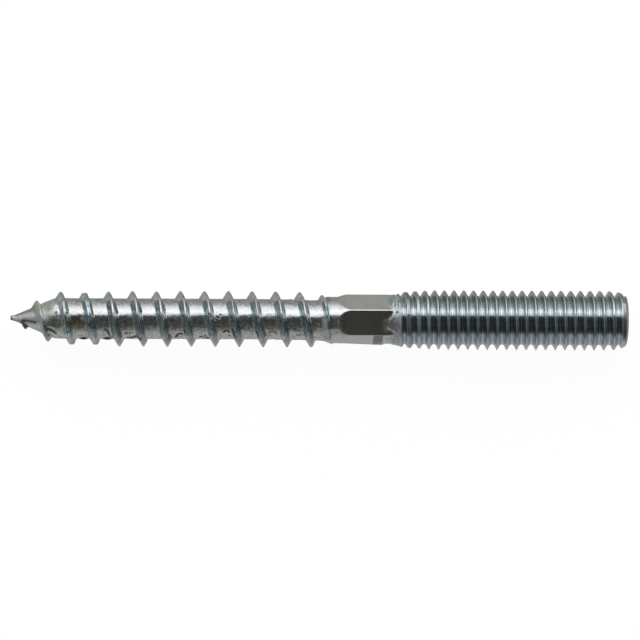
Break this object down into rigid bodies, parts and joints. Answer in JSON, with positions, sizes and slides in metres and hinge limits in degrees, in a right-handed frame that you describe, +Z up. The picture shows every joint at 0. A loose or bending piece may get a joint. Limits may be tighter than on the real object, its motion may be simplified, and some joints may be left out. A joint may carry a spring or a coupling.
{
  "type": "hanger bolt",
  "caption": "Headless hanger bolt: coarse wood thread with a gimlet point, pressed hex drive section, and M8 machine thread on one straight steel shank.",
  "frame": {"origin": "on the bolt's axis, at the inner end of the full machine thread, as deep as a nut runs", "axes": "+X along the axis towards the free end of the machine thread, the wood point at -X; +Z up, normal to one hex flat, with the bolt lying on its side"},
  "size_m": [0.0793, 0.0078, 0.0078],
  "materials": {
    "zinc_plated_steel": "bright zinc plating over cold-formed steel"
  },
  "bodies": {
    "root": {"hanger_bolt": "zinc_plated_steel"}
  },
  "joints": []
}
